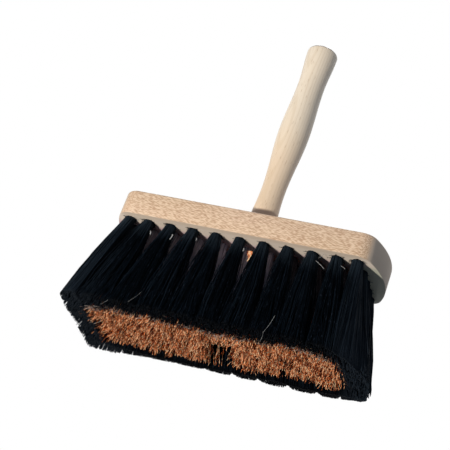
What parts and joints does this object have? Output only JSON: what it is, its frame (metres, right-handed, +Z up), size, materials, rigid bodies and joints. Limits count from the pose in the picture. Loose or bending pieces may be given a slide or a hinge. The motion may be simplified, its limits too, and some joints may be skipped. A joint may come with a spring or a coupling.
{
  "type": "masonry brush",
  "caption": "Wash-down brush with a drilled wooden block, flaring tufts of black and coco fibre, and a turned wooden handle standing up from its middle.",
  "frame": {"origin": "middle of the brush at its fibre tips, on the surface that it stands on", "axes": "+Z up along the handle, X along the block's length, +Y across it to the back"},
  "size_m": [0.2134, 0.0834, 0.257],
  "materials": {
    "block_beech": "planed beech, unvarnished, with fine ray flecks",
    "handle_wood": "turned pale hardwood, smooth, thinly lacquered",
    "black_fibre": "stiff black fibre with a dull sheen",
    "coco_fibre": "rough orange-brown coco fibre, uneven in colour"
  },
  "bodies": {
    "root": {"brush_block": "block_beech", "core_tuft_row_1_01": "coco_fibre", "core_tuft_row_1_02": "coco_fibre", "core_tuft_row_1_03": "coco_fibre", "core_tuft_row_1_04": "coco_fibre", "core_tuft_row_1_05": "coco_fibre", "core_tuft_row_1_06": "coco_fibre", "core_tuft_row_1_07": "coco_fibre", "core_tuft_row_1_08": "coco_fibre", "core_tuft_row_1_09": "coco_fibre", "core_tuft_row_2_01": "coco_fibre", "core_tuft_row_2_02": "coco_fibre", "core_tuft_row_2_03": "coco_fibre", "core_tuft_row_2_04": "coco_fibre", "core_tuft_row_2_06": "coco_fibre", "core_tuft_row_2_07": "coco_fibre", "core_tuft_row_2_08": "coco_fibre", "core_tuft_row_2_09": "coco_fibre", "core_tuft_row_3_01": "coco_fibre", "core_tuft_row_3_02": "coco_fibre", "core_tuft_row_3_03": "coco_fibre", "core_tuft_row_3_04": "coco_fibre", "core_tuft_row_3_06": "coco_fibre", "core_tuft_row_3_07": "coco_fibre", "core_tuft_row_3_08": "coco_fibre", "core_tuft_row_3_09": "coco_fibre", "handle": "handle_wood", "rim_tuft_back_01": "black_fibre", "rim_tuft_back_02": "black_fibre", "rim_tuft_back_03": "black_fibre", "rim_tuft_back_04": "black_fibre", "rim_tuft_back_05": "black_fibre", "rim_tuft_back_06": "black_fibre", "rim_tuft_back_07": "black_fibre", "rim_tuft_back_08": "black_fibre", "rim_tuft_back_09": "black_fibre", "rim_tuft_back_10": "black_fibre", "rim_tuft_back_11": "black_fibre", "rim_tuft_front_01": "black_fibre", "rim_tuft_front_02": "black_fibre", "rim_tuft_front_03": "black_fibre", "rim_tuft_front_04": "black_fibre", "rim_tuft_front_05": "black_fibre", "rim_tuft_front_06": "black_fibre", "rim_tuft_front_07": "black_fibre", "rim_tuft_front_08": "black_fibre", "rim_tuft_front_09": "black_fibre", "rim_tuft_front_10": "black_fibre", "rim_tuft_front_11": "black_fibre", "rim_tuft_left_1": "black_fibre", "rim_tuft_left_2": "black_fibre", "rim_tuft_left_3": "black_fibre", "rim_tuft_right_1": "black_fibre", "rim_tuft_right_2": "black_fibre", "rim_tuft_right_3": "black_fibre"}
  },
  "joints": []
}
